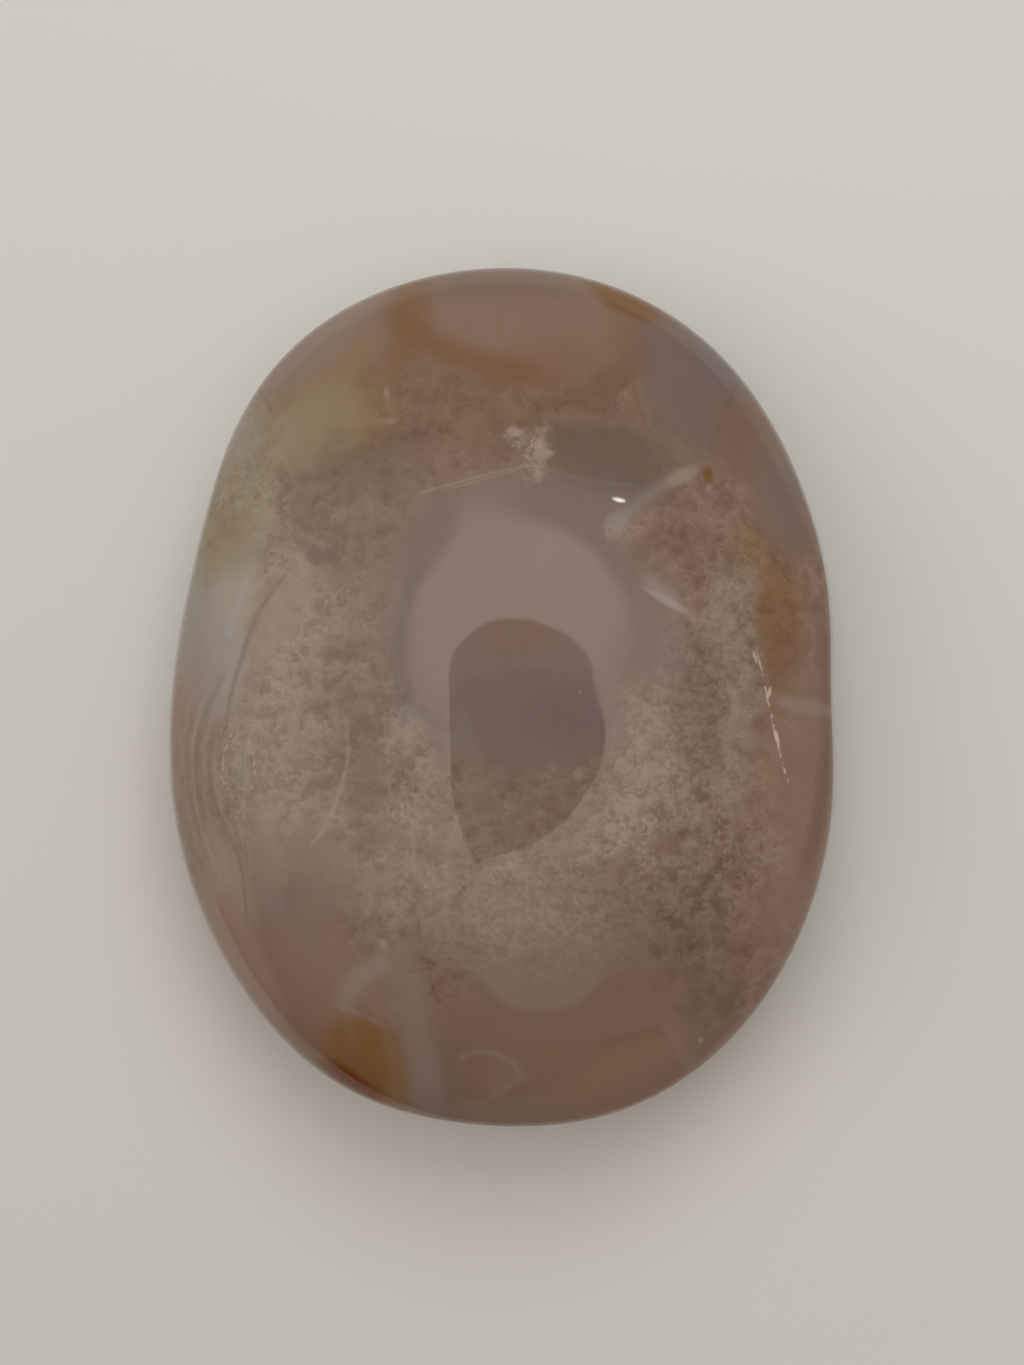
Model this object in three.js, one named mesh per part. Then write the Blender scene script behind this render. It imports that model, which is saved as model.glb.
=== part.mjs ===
// Flower agate palm stone: one hand-ground, polished oval pebble with a domed top, a domed
// underside cut by a small flat to rest on, and a ground side wall along its right and lower edge.
// Millimetres, +Z up, +Y along the long side. The origin is the middle of the resting flat's
// level under the stone's box, so the stone stands on Z = 0.
import * as THREE from "three";

// Outline seen from above: radius every 15 degrees, anticlockwise from +X.
const OUTLINE_RADII = [
  27.15, 27.95, 29.4, 31.4, 33.5, 34.75, 35.05, 34.65, 33.45, 31.0, 28.35, 27.15,
  27.25, 28.25, 29.75, 31.6, 33.65, 34.75, 35.0, 35.1, 34.0, 32.05, 30.0, 28.2,
];

// Levels
const GIRDLE_LEVEL = 10.5; // the widest level
const TOP_RISE = 11.5; // dome above the girdle
const UNDER_DROP = 11.3; // dome below the girdle, before the flat is cut
const GIRDLE_WANDER = 0.5; // the girdle rises and falls this much round the stone
const GIRDLE_WANDER_TURN = THREE.MathUtils.degToRad(60);

// Fullness of the domes: 2 is an ellipse, more is flatter on top and rounder at the edge.
const TOP_FULLNESS = 2.6;
const UNDER_FULLNESS = 2.4;

// Ground side wall: the dome runs wider than the outline there and is cut off by a steep wall.
const WALL_MIDDLE = THREE.MathUtils.degToRad(-35); // direction in which the wall is fullest
const TOP_OVERRUN = 1.15; // how far the top dome would run past the outline
const UNDER_OVERRUN = 0.6; // the same for the dome below, whose shoulder is softer
const WALL_STARTS = 0.1; // cosine of the turn from the wall's middle where the wall begins
const WALL_FULL = 0.65; // and where it has its full height
const WALL_DRAFT = 0.2; // the wall leans in this far for each millimetre from the girdle
const WALL_ROUND = 1.0; // height over which the wall turns through the vertical
const SHOULDER_ROUND = 0.35; // rounding where the dome meets the wall

// Facets
const AROUND = 80;
const TOP_RINGS = 18;
const UNDER_RINGS = 14;

const POLISHED_STONE = new THREE.MeshStandardMaterial({
  name: "agate",
  color: 0x7d6c61,
  roughness: 0.12,
  metalness: 0,
});

// Radius of the outline in a direction: the one smooth wave that passes through every radius.
function outlineRadius(angle) {
  const count = OUTLINE_RADII.length;
  let radius = 0;
  for (let k = 0; k < count; k++) {
    const turn = angle - (2 * Math.PI * k) / count;
    const near = Math.abs(Math.sin(turn / 2)) < 1e-9;
    const share = near ? 1 : Math.sin((count * turn) / 2) / (count * Math.tan(turn / 2));
    radius += share * OUTLINE_RADII[k];
  }
  return radius;
}

// Level of the girdle in a direction: a low wave with two crests.
function girdleLevel(angle) {
  return GIRDLE_LEVEL + GIRDLE_WANDER * Math.sin(2 * (angle - GIRDLE_WANDER_TURN));
}

// How much of the side wall there is in a direction, from 0 to 1.
function wallShare(angle) {
  return THREE.MathUtils.smoothstep(Math.cos(angle - WALL_MIDDLE), WALL_STARTS, WALL_FULL);
}

// The smaller of two lengths, with the corner between them rounded off.
function roundedMin(a, b, round) {
  const near = Math.max(round - Math.abs(a - b), 0);
  return Math.min(a, b) - (near * near) / (4 * round);
}

// Section of the stone as shares: x from the axis out to 1, y from 1 on top through 0 at the
// girdle to -1 below. Equal turns of a circle space the rings.
function sectionShares() {
  const points = [];
  for (let i = 0; i <= TOP_RINGS; i++) {
    const turn = (Math.PI / 2) * (i / TOP_RINGS);
    points.push(new THREE.Vector2(Math.sin(turn), Math.cos(turn) ** (2 / TOP_FULLNESS)));
  }
  const flat = GIRDLE_LEVEL / UNDER_DROP;
  const flatTurn = Math.acos(flat ** (UNDER_FULLNESS / 2));
  for (let i = UNDER_RINGS - 1; i >= 0; i--) {
    const turn = THREE.MathUtils.lerp(flatTurn, Math.PI / 2, i / UNDER_RINGS);
    points.push(new THREE.Vector2(Math.sin(turn), -(Math.cos(turn) ** (2 / UNDER_FULLNESS))));
  }
  points.push(new THREE.Vector2(0, -flat));
  points[0].x = 0;
  return points;
}

// Moves a point of the revolved section to its place on the stone.
function placeOnStone(share, level, angle) {
  const girdle = girdleLevel(angle);
  const flat = GIRDLE_LEVEL / UNDER_DROP;
  const top = GIRDLE_LEVEL + TOP_RISE;
  const z = level >= 0 ? girdle + (top - girdle) * level : girdle * (1 + level / flat);
  const radius = outlineRadius(angle);
  const overrun = level >= 0 ? TOP_OVERRUN : UNDER_OVERRUN;
  const dome = share * (radius + overrun * wallShare(angle));
  const away = z - girdle;
  const lean = WALL_DRAFT * (Math.hypot(away, WALL_ROUND) - WALL_ROUND);
  const r = roundedMin(dome, radius - lean, SHOULDER_ROUND);
  return new THREE.Vector3(r * Math.cos(angle), r * Math.sin(angle), z);
}

function palmStoneGeometry() {
  const geometry = new THREE.LatheGeometry(sectionShares().reverse(), AROUND);
  geometry.rotateX(Math.PI / 2);
  const position = geometry.getAttribute("position");
  for (let i = 0; i < position.count; i++) {
    const x = position.getX(i);
    const y = position.getY(i);
    const share = Math.hypot(x, y);
    const placed = placeOnStone(share, position.getZ(i), Math.atan2(y, x));
    position.setXYZ(i, placed.x, placed.y, placed.z);
  }
  geometry.computeBoundingBox();
  const middle = geometry.boundingBox.getCenter(new THREE.Vector3());
  geometry.translate(-middle.x, -middle.y, 0);
  geometry.computeVertexNormals();
  return geometry;
}

const palmStone = new THREE.Mesh(palmStoneGeometry(), POLISHED_STONE);
palmStone.name = "palm_stone";

const flowerAgatePalmStone = new THREE.Group();
flowerAgatePalmStone.add(palmStone);

export default flowerAgatePalmStone;
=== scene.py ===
"""Flower agate palm stone: its polished surface and markings, on a pale floor in soft light.

The stone is one piece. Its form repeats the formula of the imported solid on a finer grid, and its
markings are laid as patches, veins and grain in the stone's own millimetres, so they run on
through the side and the underside.
"""

import logging
import math
from dataclasses import dataclass, field
from enum import Enum
from functools import partial

import bpy
import numpy as np
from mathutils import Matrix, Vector


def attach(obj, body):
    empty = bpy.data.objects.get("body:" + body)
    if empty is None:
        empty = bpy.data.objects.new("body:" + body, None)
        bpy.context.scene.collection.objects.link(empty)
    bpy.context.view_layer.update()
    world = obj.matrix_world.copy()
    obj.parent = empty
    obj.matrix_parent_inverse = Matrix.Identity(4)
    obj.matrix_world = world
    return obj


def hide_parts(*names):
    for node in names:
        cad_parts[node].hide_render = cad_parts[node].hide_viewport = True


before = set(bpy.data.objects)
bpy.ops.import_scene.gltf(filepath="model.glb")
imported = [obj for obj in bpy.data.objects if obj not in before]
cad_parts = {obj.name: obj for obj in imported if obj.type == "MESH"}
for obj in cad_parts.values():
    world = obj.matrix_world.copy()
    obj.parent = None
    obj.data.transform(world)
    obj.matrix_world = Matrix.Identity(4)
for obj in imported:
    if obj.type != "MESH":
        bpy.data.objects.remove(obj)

LOG = logging.getLogger("palm_stone")
MM = 0.001

Rgb = tuple[float, float, float]
Plan = tuple[float, float]
Span = tuple[float, float]
Socket = bpy.types.NodeSocket
Node = bpy.types.Node
Number = float | np.ndarray

UP = (0.0, 0.0, 1.0)
NOISE_MIDDLE = 0.5
COLOUR_MIDDLE = (NOISE_MIDDLE, NOISE_MIDDLE, NOISE_MIDDLE)
TINY = 1e-9


# The stone's form

def turned(x: Number, y: Number, degrees: float) -> tuple[Number, Number]:
    """A place seen along axes that are turned anticlockwise by an angle."""
    cos, sin = math.cos(math.radians(degrees)), math.sin(math.radians(degrees))
    return x * cos + y * sin, y * cos - x * sin


@dataclass(frozen=True)
class Pit:
    """A shallow open pit that polishing left, in millimetres on the stone's plan."""

    centre: Plan
    radii: Plan
    turn: float = 0.0
    depth: float = 0.08

    def sunk(self, x: np.ndarray, y: np.ndarray) -> np.ndarray:
        """Depth at places: one less the squared distance in radii, squared, and none outside.

        Args:
            x: Places across the stone, in millimetres.
            y: Places along it.

        Returns:
            The depth at each place, in millimetres.
        """
        along, across = turned(x - self.centre[0], y - self.centre[1], self.turn)
        square = (along / self.radii[0]) ** 2 + (across / self.radii[1]) ** 2
        return self.depth * np.clip(1 - square, 0.0, 1.0) ** 2


@dataclass(frozen=True)
class Wave:
    """One of the crossing sine waves of hand polishing: its lengths for a radian and its start."""

    across: float
    along: float
    start: float = 0.0

    def height(self, x: np.ndarray, y: np.ndarray) -> np.ndarray:
        """Sine of both places over their lengths, added up, plus the start."""
        return np.sin(x / self.across + y / self.along + self.start)


@dataclass(frozen=True)
class StoneForm:
    """The stone's outer form: a domed section carried round a hand-ground outline.

    The outline radii stand every 15 degrees, anticlockwise from +X. The dome above and the one
    below meet at the girdle. Along the right and lower edge both run wider than the outline and
    are cut off by a steep ground wall.
    """

    outline: tuple[float, ...] = (
        27.15, 27.95, 29.4, 31.4, 33.5, 34.75, 35.05, 34.65, 33.45, 31.0, 28.35, 27.15,
        27.25, 28.25, 29.75, 31.6, 33.65, 34.75, 35.0, 35.1, 34.0, 32.05, 30.0, 28.2,
    )
    outline_checks: int = 1440
    girdle_level: float = 10.5
    top_rise: float = 11.5
    under_drop: float = 11.3
    girdle_wander: float = 0.5
    girdle_wander_turn: float = math.radians(60)
    top_fullness: float = 2.6
    under_fullness: float = 2.4
    wall_middle: float = math.radians(-35)
    top_overrun: float = 1.15
    under_overrun: float = 0.6
    wall_starts: float = 0.1
    wall_full: float = 0.65
    wall_draft: float = 0.2
    wall_round: float = 1.0
    shoulder_round: float = 0.35
    wave_depth: float = 0.018
    waves: tuple[Wave, ...] = (Wave(3.1, 7.3), Wave(-6.1, 3.7, 1.3), Wave(4.9, 4.9, 2.1))
    pits: tuple[Pit, ...] = (
        Pit((1.0, 20.3), (0.9, 0.6), depth=0.1),
        Pit((2.7, 19.3), (0.8, 1.3), -20.0, depth=0.12),
        Pit((2.8, 17.4), (0.6, 0.8)),
        Pit((16.0, 17.5), (0.5, 0.7), depth=0.06),
        Pit((-9.1, 23.7), (0.5, 0.6), depth=0.06),
        Pit((-9.3, -19.0), (0.5, 0.5), depth=0.06),
        Pit((14.3, -10.8), (0.7, 0.6), depth=0.05),
        Pit((20.9, 0.3), (0.5, 0.8), -12.0, depth=0.06),
        Pit((21.6, -3.1), (0.5, 1.0), 15.0),
        Pit((22.3, -5.6), (0.5, 1.0), 15.0, depth=0.05),
    )

    @property
    def flat_share(self) -> float:
        """Level of the resting flat as a share of the whole lower dome."""
        return self.girdle_level / self.under_drop

    def outline_radius(self, angle: np.ndarray) -> np.ndarray:
        """Radius of the outline: the one smooth wave that passes through every listed radius.

        Args:
            angle: Directions from +X, in radians.

        Returns:
            The radius in each direction, in millimetres.
        """
        count = len(self.outline)
        turn = angle[..., None] - np.arange(count) * (2 * math.pi / count)
        near = np.abs(np.sin(turn / 2)) < TINY
        safe = np.where(near, 1.0, turn)
        share = np.where(near, 1.0, np.sin(count * safe / 2) / (count * np.tan(safe / 2)))
        return share @ np.array(self.outline)

    def girdle(self, angle: np.ndarray) -> np.ndarray:
        """Level of the girdle: its mean level plus a low wave with two crests."""
        wave = np.sin(2 * (angle - self.girdle_wander_turn))
        return self.girdle_level + self.girdle_wander * wave

    def wall_share(self, angle: np.ndarray) -> np.ndarray:
        """How much of the side wall there is: a smooth step of the cosine from its middle.

        Args:
            angle: Directions from +X, in radians.

        Returns:
            The share in each direction, from 0 to 1.
        """
        reach = np.cos(angle - self.wall_middle) - self.wall_starts
        step = np.clip(reach / (self.wall_full - self.wall_starts), 0.0, 1.0)
        return step * step * (3 - 2 * step)

    def rounded_min(self, a: np.ndarray, b: np.ndarray) -> np.ndarray:
        """The smaller of two lengths, less a parabola where they are nearly equal."""
        near = np.maximum(self.shoulder_round - np.abs(a - b), 0.0)
        return np.minimum(a, b) - near * near / (4 * self.shoulder_round)

    def place(self, share: np.ndarray, level: np.ndarray, angle: np.ndarray) -> np.ndarray:
        """Points of the surface, in millimetres about the outline's own centre.

        The height is the girdle's plus the level's share of the rise or drop. The radius is the
        share of the dome's reach, or the wall's radius where that is smaller: the outline less a
        lean that grows with the distance from the girdle as a hyperbola does.

        Args:
            share: Distance out along the section, from 0 on the axis to 1.
            level: Height on the section, from 1 on top through 0 at the girdle to below it.
            angle: Directions from +X, in radians.

        Returns:
            An array of points with x, y and z last.
        """
        girdle = self.girdle(angle)
        rise = self.girdle_level + self.top_rise - girdle
        drop = girdle / self.flat_share
        z = girdle + level * np.where(level >= 0, rise, drop)
        radius = self.outline_radius(angle)
        overrun = np.where(level >= 0, self.top_overrun, self.under_overrun)
        dome = share * (radius + overrun * self.wall_share(angle))
        lean = self.wall_draft * (np.hypot(z - girdle, self.wall_round) - self.wall_round)
        r = self.rounded_min(dome, radius - lean)
        return np.stack([r * np.cos(angle), r * np.sin(angle), z], axis=-1)

    def section(self, top_rings: int, under_rings: int) -> tuple[np.ndarray, np.ndarray]:
        """Shares and levels of the section, from the top pole down to the flat's middle.

        Equal turns of a quarter circle space the rings. The share is the turn's sine, and the
        level is its cosine raised to two over the dome's fullness. One more ring halves the flat.

        Args:
            top_rings: Rings from the top pole to the girdle.
            under_rings: Rings from the girdle to the edge of the flat.

        Returns:
            The share and the level of each ring, both poles included.
        """
        top = np.linspace(0.0, math.pi / 2, top_rings + 1)
        flat_turn = math.acos(self.flat_share ** (self.under_fullness / 2))
        under = np.linspace(math.pi / 2, flat_turn, under_rings + 1)[1:]
        flat = np.sin(flat_turn) * np.array([0.5, 0.0])
        share = np.concatenate([np.sin(top), np.sin(under), flat])
        upper = np.abs(np.cos(top)) ** (2 / self.top_fullness)
        lower = -(np.cos(under) ** (2 / self.under_fullness))
        level = np.concatenate([upper, lower, np.full(2, -self.flat_share)])
        level[top_rings] = 0.0
        return share, level

    def wave(self, x: np.ndarray, y: np.ndarray, z: np.ndarray) -> np.ndarray:
        """Depth of the faint waves that hand polishing leaves in the top dome.

        The long crossing waves are added, moved to stay at or above zero, and faded out with the
        square of the height above the girdle.

        Args:
            x: Places across the stone, in millimetres.
            y: Places along it.
            z: Heights of the dome there.

        Returns:
            The depth at each place, in millimetres.
        """
        heights = sum(wave.height(x, y) for wave in self.waves)
        fade = np.clip((z - self.girdle_level) / self.top_rise, 0.0, 1.0) ** 2
        return self.wave_depth * fade * (heights + len(self.waves)) / 2

    def polished(self, points: np.ndarray) -> np.ndarray:
        """Points with the polishing waves and the open pits sunk into the top dome.

        Args:
            points: Points of the plain form, in millimetres.

        Returns:
            The same points, sunk by the depth of the waves plus that of every pit.
        """
        x, y, z = points[..., 0], points[..., 1], points[..., 2]
        depth = self.wave(x, y, z)
        upper = z > self.girdle_level
        for pit in self.pits:
            depth = depth + np.where(upper, pit.sunk(x, y), 0.0)
        sunk = points.copy()
        sunk[..., 2] -= depth
        return sunk

    def plan_middle(self) -> np.ndarray:
        """Middle of the outline's box, which the model's origin stands under.

        Returns:
            The place from the outline's own centre, in millimetres.
        """
        angle = np.linspace(0.0, 2 * math.pi, self.outline_checks + 1)
        ring = self.place(np.ones_like(angle), np.zeros_like(angle), angle)[:, :2]
        return (ring.min(axis=0) + ring.max(axis=0)) / 2

    def top_height(self, plan: np.ndarray) -> np.ndarray:
        """Height of the polished dome: the section's level there, less the polishing waves.

        Args:
            plan: Places from the model's origin, in millimetres.

        Returns:
            The height over each place, in millimetres.
        """
        own = plan + self.plan_middle()
        angle = np.arctan2(own[..., 1], own[..., 0])
        reach = self.outline_radius(angle) + self.top_overrun * self.wall_share(angle)
        share = np.clip(np.hypot(own[..., 0], own[..., 1]) / reach, 0.0, 1 - TINY)
        level = (1 - share ** 2) ** (1 / self.top_fullness)
        girdle = self.girdle(angle)
        height = girdle + level * (self.girdle_level + self.top_rise - girdle)
        return height - self.wave(own[..., 0], own[..., 1], height)

    def top_normals(self, plan: np.ndarray, step: float = 0.4) -> np.ndarray:
        """Upward unit normals of the dome, from central differences of its height.

        Args:
            plan: Places from the model's origin, in millimetres.
            step: Distance to each side over which the height is compared.

        Returns:
            The normal at each place.
        """
        dx = self.top_height(plan + [step, 0]) - self.top_height(plan - [step, 0])
        dy = self.top_height(plan + [0, step]) - self.top_height(plan - [0, step])
        normals = np.stack([-dx / (2 * step), -dy / (2 * step), np.ones_like(dx)], axis=-1)
        return normals / np.linalg.norm(normals, axis=-1, keepdims=True)


# Tones and markings of the stone, and the glints and sheen painted on it

class Tone(Enum):
    """Colours of the stone's substance, and of glints and sheen painted on it, as linear red, green
    and blue shares of light returned.
    """

    QUARTZ = (0.205, 0.147, 0.098)
    PALE_GREEN_GREY = (0.232, 0.181, 0.124)
    PALE_CREAM = (0.277, 0.218, 0.144)
    PALE_CRYSTAL = (0.250, 0.189, 0.139)
    PINK_BROWN = (0.238, 0.150, 0.101)
    PALE_ROSE = (0.258, 0.170, 0.120)
    PINK_QUARTZ = (0.214, 0.142, 0.097)
    ROSE = (0.228, 0.146, 0.103)
    DARK_GREY_GREEN = (0.180, 0.118, 0.077)
    RED_BROWN = (0.192, 0.119, 0.077)
    DEEP_RED = (0.132, 0.070, 0.038)
    SMOKE = (0.158, 0.107, 0.069)
    DEEP_SMOKE = (0.118, 0.078, 0.050)
    MAUVE_GREY = (0.172, 0.124, 0.097)
    VIOLET = (0.112, 0.081, 0.068)
    DUSK = (0.143, 0.098, 0.070)
    LAVENDER = (0.220, 0.165, 0.140)
    LAVENDER_PINK = (0.229, 0.165, 0.130)
    BLUE_GREY = (0.193, 0.144, 0.124)
    SLATE = (0.170, 0.124, 0.110)
    LILAC_GREY = (0.180, 0.123, 0.096)
    GREY_BROWN = (0.197, 0.134, 0.098)
    WARM_GREY = (0.238, 0.174, 0.130)
    PALE_LILAC = (0.243, 0.180, 0.145)
    PINK_WHITE = (0.300, 0.209, 0.152)
    ORANGE_BROWN = (0.190, 0.098, 0.040)
    ORANGE = (0.212, 0.092, 0.028)
    RUST = (0.180, 0.078, 0.008)
    EMBER = (0.150, 0.030, 0.002)
    OCHRE = (0.222, 0.129, 0.057)
    YELLOW_BROWN = (0.230, 0.156, 0.085)
    YELLOW_GREEN = (0.262, 0.200, 0.114)
    OLIVE = (0.152, 0.100, 0.046)
    CREAM_CRUMB = (0.310, 0.246, 0.186)
    MILK = (0.345, 0.310, 0.285)
    MILK_VEIL = (0.240, 0.194, 0.172)
    # The cool tones also carry part of a painted sheen along the left edge
    COOL_WHITE = (0.350, 0.300, 0.232)
    COOL_GREY = (0.302, 0.262, 0.220)
    FROST = (0.292, 0.240, 0.196)
    # Painted highlight for small cracks that catch the light, brighter than any of the stone's own
    # colours
    GLINT = (0.560, 0.480, 0.380)


class Cover(Enum):
    """What part of a patch its tone covers: all of it, or one texture of the stone within it."""

    FULL = "full"
    SPECKS = "Specks"
    CRYSTALS = "Crystals"
    CORES = "Cores"
    DASHES = "Dashes"
    BANDS = "Bands"
    # The ground wall's band, which takes a painted reflection
    WALL_SHEEN = "Wall"


@dataclass(frozen=True)
class Patch:
    """A soft-edged oval marking, in millimetres on the stone's plan.

    The edge is the share of the radii over which it fades in, to each side of its rim. A ragged
    patch follows the grain, and another has a smooth, slightly wavering rim.
    """

    tone: Tone
    centre: Plan
    radii: Plan
    turn: float = 0.0
    edge: float = 0.3
    strength: float = 1.0
    ragged: bool = False
    cover: Cover = Cover.FULL

    def settings(self) -> dict[str, object]:
        """Values of the oval's own sockets: both axes' directions stand over their radii.

        Returns:
            The value of each socket by name.
        """
        cos, sin = turned(1.0, 0.0, -self.turn)
        first, second = self.radii
        return {
            "Centre": (*self.centre, 0.0),
            "Long Axis": (cos / first, sin / first, 0.0),
            "Short Axis": (-sin / second, cos / second, 0.0),
            "Edge": self.edge,
        }


@dataclass(frozen=True)
class Vein:
    """A curved line through three places, in millimetres on the stone's plan."""

    tone: Tone
    start: Plan
    bend: Plan
    end: Plan
    width: float = 0.4
    strength: float = 0.6
    ragged: bool = False
    cover: Cover = Cover.FULL

    def circle(self) -> tuple[Plan, float]:
        """The circle through the three places, where the chords' upright bisectors meet.

        Returns:
            Its centre and its radius.
        """
        (ax, ay), (bx, by), (cx, cy) = self.start, self.bend, self.end
        d = 2 * (ax * (by - cy) + bx * (cy - ay) + cx * (ay - by))
        a2, b2, c2 = ax * ax + ay * ay, bx * bx + by * by, cx * cx + cy * cy
        x = (a2 * (by - cy) + b2 * (cy - ay) + c2 * (ay - by)) / d
        y = (a2 * (cx - bx) + b2 * (ax - cx) + c2 * (bx - ax)) / d
        return (x, y), math.dist(self.start, (x, y))

    def settings(self, slack: float = 1.12) -> dict[str, object]:
        """Values of the line's own sockets: its window reaches the farther end, and a bit more.

        Args:
            slack: How many times the way to the farther end the window reaches.

        Returns:
            The value of each socket by name.
        """
        centre, radius = self.circle()
        reach = max(math.dist(self.start, self.bend), math.dist(self.end, self.bend))
        return {
            "Centre": (*centre, 0.0),
            "Radius": radius,
            "Half Width": self.width / 2,
            "Window": (*self.bend, 0.0),
            "Window Radius": slack * reach,
        }


Marking = Patch | Vein

# Makers of the commonest kinds of marking, whose values a row of a table may still change
crystal_patch = partial(Patch, edge=0.8, cover=Cover.CRYSTALS)
core_patch = partial(Patch, cover=Cover.CORES)
speck_patch = partial(Patch, cover=Cover.SPECKS)
dash_vein = partial(Vein, cover=Cover.DASHES)
crumb = partial(Patch, Tone.CREAM_CRUMB, edge=0.8)
spot = partial(Patch, edge=0.8, ragged=True)

BODY_TINTS: tuple[Marking, ...] = (
    # The left side
    Patch(Tone.PALE_GREEN_GREY, (-18.5, 3.0), (7.0, 14.0), edge=0.6),
    Patch(Tone.PALE_CREAM, (-19.0, 17.0), (6.5, 8.0), edge=0.5, strength=0.9),
    Patch(Tone.PALE_CRYSTAL, (-18.4, 6.4), (2.6, 5.0), -14.0, edge=0.7, strength=0.8),
    # The right side
    Patch(Tone.PINK_BROWN, (22.5, -5.0), (8.0, 27.0), edge=0.5),
    Patch(Tone.DARK_GREY_GREEN, (12.5, -15.0), (7.5, 8.0), edge=0.6),
    Patch(Tone.PALE_ROSE, (20.3, -14.0), (4.2, 8.5), 10.0, edge=0.6, strength=0.3),
    # The mottled upper end
    Patch(Tone.PINK_QUARTZ, (-1.0, 22.0), (11.5, 5.6), edge=0.4),
    Patch(Tone.RED_BROWN, (-1.0, 22.6), (8.0, 3.8), edge=0.5, strength=0.55),
    # Dark clumps left of the eye
    Patch(Tone.SMOKE, (-10.8, 14.6), (5.2, 6.0), edge=0.6, strength=0.9),
    Patch(Tone.SMOKE, (-11.2, 1.0), (2.6, 5.0), edge=0.7, strength=0.55),
    Patch(Tone.SMOKE, (-10.4, -5.0), (2.2, 4.0), edge=0.7, strength=0.9),
    # The pale and dark columns and the crescent, right of the eye
    Patch(Tone.PALE_CRYSTAL, (18.2, 3.0), (1.9, 9.0), edge=0.7),
    Vein(Tone.PALE_CRYSTAL, (4.2, -13.2), (10.2, -7.6), (11.4, 0.8), width=5.4, strength=0.28),
    Patch(Tone.SMOKE, (15.0, -0.5), (1.9, 5.4), 4.0, edge=0.7),
    Patch(Tone.DEEP_SMOKE, (15.0, -1.0), (1.4, 4.6), 4.0, edge=0.9, strength=0.6),
    # Below the eye, and above it on the right
    Patch(Tone.PALE_LILAC, (1.4, -8.0), (4.8, 3.8), edge=0.6, strength=0.6),
    Patch(Tone.PINK_QUARTZ, (14.6, 13.8), (4.4, 3.6), edge=0.4),
    Patch(Tone.DARK_GREY_GREEN, (12.4, 10.6), (2.6, 2.2), edge=0.5, strength=0.8),
    # Stains along the right edge and in the upper end
    Patch(Tone.OCHRE, (20.4, 11.8), (1.9, 1.8), edge=0.8, strength=0.7, ragged=True),
    Patch(Tone.OCHRE, (21.8, 6.0), (1.5, 3.4), edge=0.6, ragged=True),
    Patch(Tone.ORANGE_BROWN, (22.3, 3.4), (1.3, 2.6), edge=0.6, strength=0.75, ragged=True),
    Patch(Tone.YELLOW_BROWN, (-10.6, 23.4), (2.2, 3.0), edge=0.7, strength=0.9, ragged=True),
    Patch(Tone.OLIVE, (4.2, 23.0), (1.6, 0.6), 20.0, edge=0.7, strength=0.5, ragged=True),
)

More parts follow.
